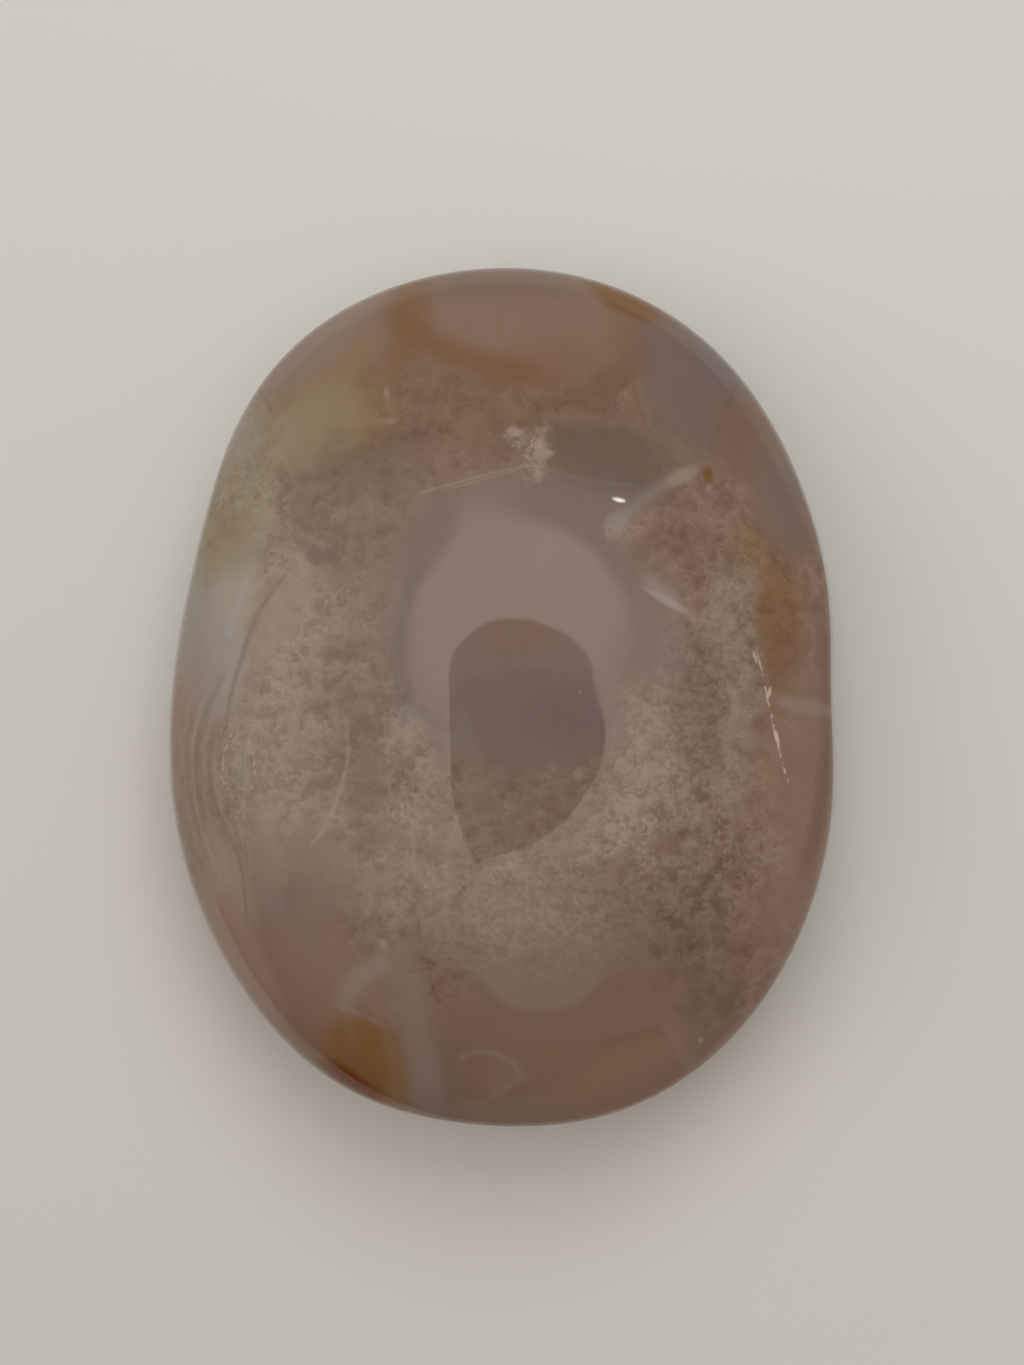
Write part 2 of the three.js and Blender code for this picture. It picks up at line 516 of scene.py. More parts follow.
SMOOTH_ZONES: tuple[Marking, ...] = (
    # The eye and its rings
    Patch(Tone.MAUVE_GREY, (11.8, 4.6), (2.0, 3.6), edge=0.7, strength=0.7),
    Patch(Tone.MAUVE_GREY, (0.6, 6.0), (9.9, 11.6), edge=0.14, strength=0.92, ragged=True),
    Patch(Tone.LAVENDER, (0.8, 6.0), (8.2, 8.6), edge=0.26, strength=0.9),
    Patch(Tone.DUSK, (-5.7, 12.6), (1.3, 2.8), -28.0, edge=0.8, strength=0.9),
    Vein(Tone.VIOLET, (-7.3, -1.6), (-8.0, 4.2), (-6.2, 10.6), width=2.3),
    Vein(Tone.VIOLET, (-7.6, 1.4), (-6.3, -0.9), (-3.6, -1.8), width=2.0, strength=0.6),
    Patch(Tone.LAVENDER_PINK, (5.2, 8.0), (3.2, 3.4), edge=0.7, strength=0.5),
    Patch(Tone.ROSE, (1.0, 4.6), (2.6, 1.6), edge=0.8, strength=0.45),
    Patch(Tone.BLUE_GREY, (2.2, -1.6), (7.0, 3.5), edge=0.3, ragged=True),
    Patch(Tone.SLATE, (5.2, -1.6), (2.8, 1.8), edge=0.6, strength=0.5),
    Patch(Tone.FROST, (-2.5, -6.2), (0.9, 3.6), 8.0, edge=0.95, strength=0.3, ragged=True),
    Patch(Tone.LAVENDER_PINK, (1.6, -8.0), (4.6, 3.6), edge=0.7, strength=0.25),
    # Above the eye
    Patch(Tone.MAUVE_GREY, (6.5, 15.9), (5.6, 1.7), edge=0.35),
    Patch(Tone.DUSK, (8.0, 18.9), (4.6, 2.3), -5.0, edge=0.5, strength=0.8),
    Vein(Tone.DUSK, (-0.5, 15.3), (8.9, 11.4), (11.3, 2.0), width=4.6),
    Vein(Tone.VIOLET, (1.8, 14.4), (6.9, 12.2), (10.3, 7.2), width=2.5, strength=0.35),
    # The lobes along the upper end
    Patch(Tone.LILAC_GREY, (14.9, 26.0), (4.2, 7.6), 30.0, edge=0.35),
    Patch(Tone.SLATE, (18.0, 26.0), (1.6, 3.4), 30.0, edge=0.7, strength=0.7),
    Patch(Tone.RED_BROWN, (20.3, 20.4), (3.0, 3.9), 35.0, edge=0.5),
    Patch(Tone.GREY_BROWN, (22.4, 15.6), (2.6, 4.4), 12.0, edge=0.5),
    Patch(Tone.WARM_GREY, (-13.6, 28.8), (6.4, 3.6), 38.0, edge=0.3),
    Patch(Tone.ROSE, (1.6, 31.0), (8.6, 5.2), edge=0.4),
    Patch(Tone.GREY_BROWN, (0.0, 33.6), (7.0, 1.8), edge=0.6, strength=0.9),
    # The right shoulder
    Patch(Tone.PALE_ROSE, (25.5, -9.0), (4.6, 14.0), edge=0.5, strength=0.75),
    # The lower left
    Patch(Tone.PALE_CRYSTAL, (-17.5, 6.4), (1.3, 3.6), -28.0, edge=0.8, strength=0.9),
    Patch(Tone.GREY_BROWN, (-15.2, -15.2), (3.0, 4.6), -10.0, edge=0.5, strength=0.85),
    Patch(Tone.PINK_BROWN, (-17.0, -22.5), (6.4, 5.0), -25.0, edge=0.6),
    Patch(Tone.PALE_CRYSTAL, (-19.0, -12.8), (2.0, 3.2), edge=0.7, strength=0.8),
    Patch(Tone.LAVENDER, (-17.6, -20.6), (4.0, 4.0), edge=0.8, strength=0.4),
    # The lower end
    Patch(Tone.GREY_BROWN, (-3.0, -27.4), (4.6, 6.0), edge=0.4),
    Patch(Tone.ROSE, (7.6, -28.6), (7.6, 6.2), 8.0, edge=0.45, strength=0.95),
    Patch(Tone.PALE_ROSE, (11.0, -30.4), (7.2, 2.4), 24.0, edge=0.6, strength=0.75),
    Patch(Tone.RED_BROWN, (4.6, -24.2), (8.0, 2.8), 4.0, edge=0.6, strength=0.75),
    Patch(Tone.RED_BROWN, (7.0, -21.2), (3.4, 2.4), -10.0, edge=0.8, strength=0.5, ragged=True),
    Patch(Tone.RED_BROWN, (-5.2, -22.6), (1.8, 3.2), 20.0, edge=0.8, strength=0.6, ragged=True),
    Patch(Tone.WARM_GREY, (3.0, -20.6), (4.9, 4.1), edge=0.1, strength=0.7),
    Patch(Tone.QUARTZ, (2.6, -18.4), (7.4, 2.6), -4.0, edge=0.6, strength=0.9, ragged=True),
    Patch(Tone.WARM_GREY, (0.5, -33.8), (6.5, 1.8), edge=0.5, strength=0.9),
)

STAINS: tuple[Marking, ...] = (
    # Iron stains along the upper end
    Vein(Tone.ORANGE_BROWN, (-8.8, 30.6), (-3.8, 27.0), (3.0, 25.3), width=4.0, strength=0.85),
    Patch(Tone.ORANGE_BROWN, (-7.5, 31.3), (1.4, 4.0), edge=0.85, strength=0.6),
    Patch(Tone.ORANGE_BROWN, (3.4, 26.2), (3.6, 1.5), 8.0, edge=0.9, strength=0.3),
    Patch(Tone.ORANGE_BROWN, (4.6, 24.6), (2.8, 1.0), edge=0.8, strength=0.2, ragged=True),
    Patch(Tone.OLIVE, (8.0, 24.4), (2.0, 1.0), 35.0, edge=0.8, strength=0.75, ragged=True),
    Patch(Tone.ORANGE_BROWN, (-9.8, 26.2), (1.6, 3.0), -10.0, edge=0.9, strength=0.4),
    Patch(Tone.RUST, (9.7, 32.0), (2.8, 1.1), -28.0, edge=0.6),
    Patch(Tone.ORANGE_BROWN, (10.0, 28.8), (1.2, 3.2), 5.0, edge=0.95, strength=0.32),
    Vein(Tone.YELLOW_BROWN, (-10.3, 28.6), (-13.6, 25.1), (-18.4, 22.8), width=4.2, strength=0.95),
    Patch(Tone.ROSE, (-9.9, 29.4), (0.9, 3.2), edge=0.95, strength=0.45),
    Patch(Tone.YELLOW_GREEN, (-14.2, 21.6), (3.2, 2.4), 35.0, edge=0.7, strength=0.85),
    Patch(Tone.COOL_GREY, (-21.0, 21.3), (1.3, 1.9), edge=0.6, strength=0.5),
    # Along the right edge
    crystal_patch(Tone.ORANGE_BROWN, (21.8, 5.4), (1.7, 4.4), edge=0.5, strength=0.6),
    Vein(Tone.RED_BROWN, (25.4, 6.0), (25.8, -4.0), (23.9, -14.0), width=2.4, strength=0.9),
    # The cool patches and growth bands along the left edge; the cool patches are partly the stone's
    # grey and partly painted sheen
    # Partly painted sheen of the bright surroundings on the left
    Patch(Tone.COOL_WHITE, (-21.7, 7.2), (1.5, 3.6), -18.0, edge=0.95, strength=0.88),
    Patch(Tone.COOL_GREY, (-22.6, 2.0), (1.5, 3.0), -15.0, edge=0.85),
    Patch(Tone.COOL_GREY, (-25.0, 5.0), (1.7, 5.2), edge=0.6, strength=0.9),
    Patch(Tone.PALE_ROSE, (-24.4, -3.6), (2.4, 5.6), edge=0.7, strength=0.5),
    Patch(Tone.YELLOW_GREEN, (-22.3, 12.2), (2.2, 2.0), edge=0.8, strength=0.6),
    Patch(Tone.PINK_WHITE, (-24.6, -8.0), (2.4, 9.5), 8.0, edge=0.6, strength=0.35),
    Patch(Tone.CREAM_CRUMB, (-21.8, -15.0), (1.3, 3.4), 22.0, edge=0.8, strength=0.75),
    Patch(Tone.PINK_WHITE, (-21.2, -20.0), (1.25, 4.6), 30.0, edge=0.95, strength=0.9),
    Patch(
        Tone.COOL_WHITE, (-23.4, -6.0), (3.2, 8.5), 4.0, edge=0.5, strength=0.2,
        cover=Cover.BANDS,
    ),
    # The pale lobe, the orange patch and the petal at the lower left
    Vein(Tone.WARM_GREY, (-8.2, -20.2), (-7.0, -25.6), (-5.6, -34.0), width=4.4, strength=0.85),
    Patch(Tone.WARM_GREY, (-9.9, -23.0), (2.9, 2.8), -20.0, edge=0.35, strength=0.4),
    Patch(Tone.PINK_QUARTZ, (-9.4, -24.0), (1.6, 2.2), edge=0.8, strength=0.45),
    Patch(Tone.PALE_LILAC, (-6.7, -31.4), (1.5, 3.2), edge=0.8, strength=0.7),
    Vein(Tone.FROST, (-12.7, -24.2), (-11.2, -22.1), (-8.8, -20.4), width=3.0, strength=0.45),
    Patch(Tone.OCHRE, (-11.1, -31.2), (3.6, 5.9), edge=0.1, strength=0.65),
    Patch(Tone.OCHRE, (-11.4, -29.4), (3.2, 3.6), edge=0.5, strength=0.75),
    Patch(Tone.OCHRE, (-12.4, -27.4), (2.2, 1.9), edge=0.3, strength=0.4),
    Vein(Tone.FROST, (-13.0, -24.3), (-11.4, -24.8), (-9.4, -25.8), width=0.7, strength=0.38),
    Patch(Tone.ORANGE, (-12.2, -29.6), (0.7, 2.4), 12.0, edge=0.9, strength=0.6),
    Patch(Tone.ORANGE, (-10.3, -29.0), (0.8, 3.0), 6.0, edge=0.9, strength=0.65),
    Patch(Tone.EMBER, (-12.2, -30.9), (2.2, 0.8), -33.0, edge=0.8, strength=0.9),
    Vein(Tone.PALE_LILAC, (-3.2, -28.3), (-0.6, -28.0), (1.5, -30.2), width=0.9, strength=0.8),
    Vein(Tone.PALE_LILAC, (1.6, -30.1), (-0.6, -31.4), (-3.0, -33.0), width=0.8, strength=0.8),
    Vein(Tone.WARM_GREY, (-2.8, -28.0), (-3.5, -30.2), (-3.0, -33.0), width=1.0, strength=0.2),
    Patch(Tone.WARM_GREY, (-0.6, -30.2), (1.1, 1.3), 30.0, edge=0.6, strength=0.4),
    Patch(Tone.PINK_QUARTZ, (-1.9, -29.6), (0.8, 1.6), edge=0.8, strength=0.6, ragged=True),
    # The lower right
    Patch(Tone.OLIVE, (16.2, -25.2), (1.5, 3.4), -12.0, edge=0.9, strength=0.42, ragged=True),
    # A painted reflection on the ground wall: the pale surroundings that it mirrors at a grazing
    # angle
    Patch(Tone.PINK_WHITE, (16.0, -25.0), (18.5, 18.5), edge=0.2, strength=0.95, cover=Cover.WALL_SHEEN),
)

VEINS: tuple[Marking, ...] = (
    # Fine lines along the upper end
    Vein(Tone.CREAM_CRUMB, (-6.6, 15.9), (-2.2, 17.1), (2.0, 18.2), width=0.45, strength=0.4),
    Vein(Tone.CREAM_CRUMB, (-4.4, 16.2), (-1.4, 17.0), (1.4, 17.9), width=0.3, strength=0.35),
    Vein(Tone.MILK_VEIL, (3.0, 18.0), (6.5, 17.0), (10.4, 16.6), width=0.5, strength=0.25),
    Vein(Tone.DEEP_SMOKE, (18.8, 25.0), (17.6, 22.4), (16.2, 19.4), width=0.6, strength=0.25),
    Vein(Tone.ORANGE_BROWN, (10.2, 27.0), (11.0, 21.8), (13.4, 18.4), width=0.8, strength=0.3),
    Vein(Tone.DEEP_SMOKE, (-19.8, 25.2), (-18.8, 23.6), (-18.0, 22.0), width=0.5, strength=0.25),
    # Milky veils
    Vein(Tone.MILK_VEIL, (14.2, 17.5), (11.4, 15.9), (9.3, 14.0), width=1.9, strength=0.6),
    Patch(Tone.MILK_VEIL, (8.9, 13.6), (0.7, 1.0), -32.0, edge=0.6, strength=0.65),
    crystal_patch(Tone.MILK, (8.7, 13.2), (0.6, 0.9), -32.0, edge=0.9, strength=0.25),
    Patch(Tone.CREAM_CRUMB, (13.9, 17.3), (1.0, 0.42), 25.0, edge=0.9, strength=0.65),
    Vein(Tone.MILK_VEIL, (11.4, 9.2), (13.2, 7.5), (15.4, 5.8), width=1.2, strength=0.5),
    Patch(Tone.MILK_VEIL, (12.2, 8.4), (1.3, 0.55), -38.0, edge=0.8, strength=0.5),
    Patch(Tone.MILK, (12.6, 7.6), (1.3, 0.24), -30.0, edge=0.9, strength=0.5),
    Patch(Tone.CREAM_CRUMB, (24.1, -0.7), (2.1, 0.5), -12.0, edge=0.6, strength=0.5),
    # Growth lines along the left edge
    Vein(Tone.MILK, (-20.0, 9.2), (-20.9, 7.0), (-21.6, 4.6), width=1.0, strength=0.8),
    Vein(Tone.MILK, (-22.2, 8.8), (-22.8, 6.4), (-23.1, 3.8), width=0.7, strength=0.2),
    Vein(Tone.SMOKE, (-16.9, 9.9), (-20.1, 4.4), (-21.6, -0.8), width=0.8, strength=0.6),
    Vein(Tone.SMOKE, (-22.3, -2.2), (-23.2, -6.0), (-21.8, -10.4), width=0.8, strength=0.35),
    Vein(Tone.SMOKE, (-21.8, 2.4), (-24.0, -2.6), (-24.5, -7.4), width=1.0, strength=0.3),
    Vein(Tone.SMOKE, (-21.5, -11.2), (-20.4, -14.5), (-20.1, -17.4), width=0.5, strength=0.35),
    Vein(Tone.COOL_WHITE, (-24.3, -2.0), (-24.6, -7.0), (-22.6, -14.0), width=0.5, strength=0.3),
    Vein(Tone.WARM_GREY, (-19.4, -9.4), (-17.8, -13.0), (-17.3, -17.6), width=0.8, strength=0.5),
    Vein(Tone.GREY_BROWN, (-17.4, -10.4), (-16.5, -13.6), (-16.4, -17.6), width=0.8, strength=0.6),
    dash_vein(Tone.COOL_WHITE, (-21.9, -6.8), (-20.5, -10.2), (-19.8, -15.2), strength=0.45),
    # Painted glints on short broken lines
    dash_vein(Tone.GLINT, (-21.0, -2.3), (-21.9, -4.6), (-22.1, -7.2), width=0.35, strength=0.45),
    dash_vein(Tone.GLINT, (-19.8, -3.2), (-19.4, -5.4), (-19.9, -7.6), width=0.35, strength=0.4),
    # Crumb lines inside, and a line of painted glints along the right edge
    Vein(Tone.CREAM_CRUMB, (-12.2, -2.4), (-12.6, -7.2), (-15.3, -11.6), width=0.7, strength=0.5),
    Vein(
        Tone.CREAM_CRUMB, (2.4, -19.0), (0.2, -19.9), (-1.8, -21.2), width=0.8, strength=0.3,
        ragged=True,
    ),
    dash_vein(Tone.GLINT, (20.1, 2.6), (21.2, -1.6), (22.5, -6.8), width=0.3, strength=0.8),
)

SPECKS: tuple[Marking, ...] = (
    # Pale crumbs and specks
    Patch(Tone.CREAM_CRUMB, (0.95, 20.4), (0.6, 0.38), 15.0, edge=0.9, strength=0.75, ragged=True),
    Patch(Tone.DEEP_SMOKE, (1.05, 20.25), (0.25, 0.15), edge=0.8, strength=0.5),
    Patch(Tone.CREAM_CRUMB, (2.8, 19.4), (0.6, 1.0), -20.0, edge=0.95, ragged=True),
    crystal_patch(Tone.CREAM_CRUMB, (2.6, 18.6), (0.7, 1.6), -12.0, strength=0.8),
    Patch(Tone.CREAM_CRUMB, (2.7, 17.2), (0.3, 0.35), edge=0.9, strength=0.7),
    crumb((-9.1, 23.7), (0.2, 0.4), strength=0.5),
    crumb((-8.8, 21.5), (0.5, 0.2), strength=0.4),
    crumb((16.0, 16.4), (0.2, 0.2), strength=0.5),
    # Clumps of pale crystals
    crystal_patch(Tone.FROST, (9.0, -10.2), (2.9, 1.4), 42.0, strength=0.75),
    crystal_patch(Tone.FROST, (10.7, -5.6), (1.6, 4.4), -8.0, edge=0.95, strength=0.55),
    Patch(Tone.FROST, (10.3, -7.2), (1.0, 2.4), -14.0, edge=0.9, strength=0.15),
    crystal_patch(Tone.CREAM_CRUMB, (15.0, 0.0), (2.4, 6.5), strength=0.25),
    crystal_patch(Tone.CREAM_CRUMB, (15.0, -11.6), (4.4, 5.4), strength=0.4),
    crystal_patch(Tone.FROST, (-7.3, -4.4), (1.6, 4.6), 10.0, strength=0.5),
    Patch(Tone.FROST, (-7.2, -2.0), (1.2, 1.1), edge=0.9, strength=0.2),
    crystal_patch(Tone.FROST, (-8.4, -9.2), (1.4, 0.8), edge=0.9, strength=0.6),
    crystal_patch(Tone.FROST, (2.4, -18.9), (5.6, 2.2), edge=0.9, strength=0.4),
    crystal_patch(Tone.CREAM_CRUMB, (-1.0, -15.0), (6.5, 3.0), strength=0.3),
    crystal_patch(Tone.CREAM_CRUMB, (18.2, 5.0), (1.7, 6.5), strength=0.2),
    crystal_patch(Tone.CREAM_CRUMB, (21.4, -12.0), (1.4, 1.5), strength=0.4),
    crystal_patch(Tone.CREAM_CRUMB, (-18.0, 0.0), (5.0, 9.0), strength=0.2),
    # Single crumbs and painted glints
    crumb((-9.3, -19.0), (0.22, 0.22), strength=0.7),
    crumb((15.6, -27.2), (0.16, 0.2), strength=0.7),
    crumb((5.9, -5.9), (0.25, 0.4), strength=0.5),
    Patch(Tone.CREAM_CRUMB, (6.1, 0.35), (0.14, 0.14), edge=0.5, strength=0.6),
    Patch(Tone.RUST, (16.0, 17.5), (0.3, 0.5), edge=0.8, strength=0.9),
    # Painted glints along the right edge, two of them on small pits
    Patch(Tone.GLINT, (20.9, 0.3), (0.13, 0.42), -12.0, edge=0.7, strength=0.8),
    Patch(Tone.GLINT, (21.6, -3.1), (0.13, 0.5), 15.0, edge=0.7),
    Patch(Tone.GLINT, (19.7, 3.1), (0.1, 0.35), 20.0, edge=0.8, strength=0.6),
    # Dark spots
    spot(Tone.DEEP_SMOKE, (-14.2, 11.2), (1.3, 0.7), -25.0, edge=0.5, strength=0.8),
    spot(Tone.DEEP_SMOKE, (-12.6, 3.5), (1.2, 0.5), strength=0.6),
    spot(Tone.DEEP_SMOKE, (-13.2, 20.0), (0.5, 1.3), -25.0, strength=0.2),
    Patch(Tone.OLIVE, (14.3, -10.8), (0.5, 0.4), edge=0.7, strength=0.8),
    spot(Tone.DEEP_RED, (13.0, -11.4), (0.9, 0.7), strength=0.6),
    spot(Tone.DEEP_RED, (13.3, -14.9), (0.9, 0.6), 10.0, strength=0.3),
    spot(Tone.DEEP_SMOKE, (9.6, -12.7), (0.8, 0.5), strength=0.5),
    spot(Tone.DEEP_RED, (-14.0, -6.8), (1.1, 0.5), 15.0, strength=0.65),
    spot(Tone.DEEP_RED, (-9.9, -2.2), (0.9, 0.4), strength=0.35),
    spot(Tone.OLIVE, (15.0, -18.5), (0.5, 0.35), strength=0.6),
    spot(Tone.OLIVE, (17.3, -19.1), (0.4, 0.3), strength=0.6),
    spot(Tone.OLIVE, (17.2, -16.2), (0.7, 0.3), -25.0, strength=0.5),
    spot(Tone.OLIVE, (-16.7, -6.9), (0.6, 0.3), strength=0.6),
    spot(Tone.RED_BROWN, (-15.8, -5.2), (0.7, 0.3), strength=0.7),
    # Groups of small dark spots
    core_patch(Tone.DEEP_RED, (-7.0, -18.3), (3.8, 1.4), edge=0.6, strength=0.4),
    core_patch(Tone.DEEP_RED, (-4.8, -22.2), (1.7, 2.4), 35.0, edge=0.6, strength=0.7),
    crystal_patch(Tone.WARM_GREY, (-4.6, -22.0), (2.2, 2.4), strength=0.4),
    core_patch(Tone.DEEP_RED, (0.0, 22.6), (8.0, 2.8), edge=0.6, strength=0.12),
    speck_patch(Tone.DEEP_RED, (14.2, -10.5), (4.6, 7.5), edge=0.6, strength=0.5),
    core_patch(Tone.DEEP_SMOKE, (12.0, -13.5), (5.5, 4.5), 10.0, edge=0.7, strength=0.4),
    core_patch(Tone.DEEP_SMOKE, (-12.5, 1.5), (5.0, 12.5), edge=0.5, strength=0.25),
    speck_patch(Tone.OLIVE, (16.8, -20.5), (4.2, 7.0), -20.0, edge=0.4, strength=0.45),
    speck_patch(Tone.DEEP_RED, (-14.5, -3.5), (4.5, 6.0), edge=0.5, strength=0.4),
)


# Shader wiring

# Numbers of the Mix node's sockets for colours, which share their names with others
MIX_FACTOR, MIX_A, MIX_B, MIX_RESULT = 0, 6, 7, 2


class Graph:
    """A node tree being wired, with one short call for each kind of node used here."""

    def __init__(self, tree: bpy.types.NodeTree) -> None:
        """Starts wiring a tree, which every call adds to."""
        self.tree = tree

    def node(self, kind: str, **settings: object) -> Node:
        """Adds a node and sets its options.

        Args:
            kind: The node's Blender type name.
            **settings: Options to set on it by name.

        Returns:
            The new node.
        """
        made = self.tree.nodes.new(kind)
        for name, value in settings.items():
            setattr(made, name, value)
        return made

    def feed(self, socket: Socket, value: object) -> None:
        """Links a socket to another one, or sets its value when given a number or a colour.

        Args:
            socket: The input to feed.
            value: An output socket, a number, a vector or a colour.
        """
        if isinstance(value, bpy.types.NodeSocket):
            self.tree.links.new(value, socket)
        elif isinstance(value, tuple) and socket.type == "RGBA" and len(value) == 3:
            socket.default_value = (*value, 1.0)
        else:
            socket.default_value = value

    def feed_all(self, node: Node, values: dict[str, object]) -> None:
        """Feeds several inputs of a node by name."""
        for label, value in values.items():
            self.feed(node.inputs[label], value)

    def number(self, operation: str, *values: object) -> Socket:
        """Does sums with a Math node.

        Args:
            operation: The node's operation.
            *values: Up to three numbers.

        Returns:
            The result.
        """
        made = self.node("ShaderNodeMath", operation=operation)
        for socket, value in zip(made.inputs, values):
            self.feed(socket, value)
        return made.outputs[0]

    def vector(self, operation: str, *values: object) -> Socket:
        """Does sums with a Vector Math node.

        Args:
            operation: The node's operation.
            *values: One or two vectors.

        Returns:
            The result, a number for a dot product, a distance or a length.
        """
        made = self.node("ShaderNodeVectorMath", operation=operation)
        for socket, value in zip(made.inputs, values):
            self.feed(socket, value)
        gives_number = operation in {"DOT_PRODUCT", "DISTANCE", "LENGTH"}
        return made.outputs["Value" if gives_number else "Vector"]

    def scaled(self, a: object, factor: object) -> Socket:
        """Multiplies a vector by a number.

        Args:
            a: The vector.
            factor: The number.

        Returns:
            The longer or shorter vector.
        """
        made = self.node("ShaderNodeVectorMath", operation="SCALE")
        self.feed_all(made, {"Vector": a, "Scale": factor})
        return made.outputs[0]

    def step(
        self, value: object, start: object, end: object, low: object = 0.0, high: object = 1.0
    ) -> Socket:
        """Steps smoothly from a low to a high number while a value goes from start to end.

        Args:
            value: The value to read.
            start: Where the step begins.
            end: Where it ends.
            low: Result up to the start.
            high: Result from the end on.

        Returns:
            The result.
        """
        made = self.node("ShaderNodeMapRange", interpolation_type="SMOOTHSTEP", clamp=False)
        given = {"Value": value, "From Min": start, "From Max": end, "To Min": low, "To Max": high}
        self.feed_all(made, given)
        return made.outputs["Result"]

    def mix(self, factor: object, a: object, b: object, blend: str = "MIX") -> Socket:
        """Blends a colour towards another one.

        Args:
            factor: Share of the blend.
            a: The colour below.
            b: The colour laid on it.
            blend: How the two are blended.

        Returns:
            The blended colour.
        """
        made = self.node("ShaderNodeMix", data_type="RGBA", blend_type=blend)
        self.feed(made.inputs[MIX_FACTOR], factor)
        self.feed(made.inputs[MIX_A], a)
        self.feed(made.inputs[MIX_B], b)
        return made.outputs[MIX_RESULT]

    def noise(
        self, place: object, scale: float, detail: float = 2.0, rough: float = 0.5,
        twist: float = 0.0,
    ) -> Node:
        """Adds a Noise Texture node.

        Args:
            place: The place that it reads.
            scale: Its waves over one unit.
            detail: How many finer waves are added.
            rough: How strong the finer waves are.
            twist: How far the place is pushed about.

        Returns:
            The node.
        """
        made = self.node("ShaderNodeTexNoise")
        settings = {"Scale": scale, "Detail": detail, "Roughness": rough, "Distortion": twist}
        self.feed_all(made, {"Vector": place, **settings})
        return made


class SocketKind(Enum):
    """Kinds of socket that the shared groups have."""

    NUMBER = "NodeSocketFloat"
    VECTOR = "NodeSocketVector"
    COLOUR = "NodeSocketColor"


def new_group(
    name: str, inputs: dict[str, SocketKind], outputs: dict[str, SocketKind]
) -> tuple[Graph, dict[str, Socket], dict[str, Socket]]:
    """Makes a shader node group with named sockets.

    Args:
        name: The group's name.
        inputs: Kind of each input by name.
        outputs: Kind of each output by name.

    Returns:
        The group's graph, its input values and its output sockets, by name.
    """
    tree = bpy.data.node_groups.new(name, "ShaderNodeTree")
    for label, kind in inputs.items():
        tree.interface.new_socket(label, in_out="INPUT", socket_type=kind.value)
    for label, kind in outputs.items():
        tree.interface.new_socket(label, in_out="OUTPUT", socket_type=kind.value)
    graph = Graph(tree)
    entry = graph.node("NodeGroupInput").outputs
    leave = graph.node("NodeGroupOutput").inputs
    return graph, {k: entry[k] for k in inputs}, {k: leave[k] for k in outputs}


def patch_group() -> bpy.types.NodeTree:
    """Group that paints a soft-edged oval column.

    The place, seen from the oval's centre, is measured along both axes of the oval in shares of
    its radii. The colour changes where the two shares' squares together are less than one.

    Returns:
        The group's tree.
    """
    graph, got, out = new_group(
        "Patch",
        {
            "Place": SocketKind.VECTOR, "Colour": SocketKind.COLOUR, "Centre": SocketKind.VECTOR,
            "Long Axis": SocketKind.VECTOR, "Short Axis": SocketKind.VECTOR,
            "Edge": SocketKind.NUMBER, "Tone": SocketKind.COLOUR, "Strength": SocketKind.NUMBER,
        },
        {"Colour": SocketKind.COLOUR},
    )
    outer = graph.number("ADD", 1.0, got["Edge"])
    outer = graph.number("MULTIPLY", outer, outer)
    inner = graph.number("SUBTRACT", 1.0, got["Edge"])
    inner = graph.number("MULTIPLY", inner, inner)
    seen = graph.vector("SUBTRACT", got["Place"], got["Centre"])
    along = graph.vector("DOT_PRODUCT", seen, got["Long Axis"])
    across = graph.vector("DOT_PRODUCT", seen, got["Short Axis"])
    square = graph.number("MULTIPLY_ADD", along, along, graph.number("MULTIPLY", across, across))
    mask = graph.step(square, outer, inner, high=got["Strength"])
    graph.feed(out["Colour"], graph.mix(mask, got["Colour"], got["Tone"]))
    return graph.tree


def vein_group(window_solid: float = 0.7) -> bpy.types.NodeTree:
    """Group that paints a thin line along an arc of a circle.

    The colour changes where the distance from the circle is under half the width, within a round
    window on the arc.

    Args:
        window_solid: Share of the window's radius within which the line is at its full strength.

    Returns:
        The group's tree.
    """
    graph, got, out = new_group(
        "Vein",
        {
            "Place": SocketKind.VECTOR, "Colour": SocketKind.COLOUR, "Centre": SocketKind.VECTOR,
            "Radius": SocketKind.NUMBER, "Half Width": SocketKind.NUMBER,
            "Window": SocketKind.VECTOR, "Window Radius": SocketKind.NUMBER,
            "Tone": SocketKind.COLOUR, "Strength": SocketKind.NUMBER,
        },
        {"Colour": SocketKind.COLOUR},
    )
    fade_start = graph.number("MULTIPLY", got["Window Radius"], window_solid)
    reach = graph.vector("DISTANCE", got["Place"], got["Centre"])
    away = graph.number("ABSOLUTE", graph.number("SUBTRACT", reach, got["Radius"]))
    line = graph.step(away, got["Half Width"], 0.0)
    span = graph.vector("DISTANCE", got["Place"], got["Window"])
    window = graph.step(span, got["Window Radius"], fade_start, high=got["Strength"])
    mask = graph.number("MULTIPLY", line, window)
    graph.feed(out["Colour"], graph.mix(mask, got["Colour"], got["Tone"]))
    return graph.tree


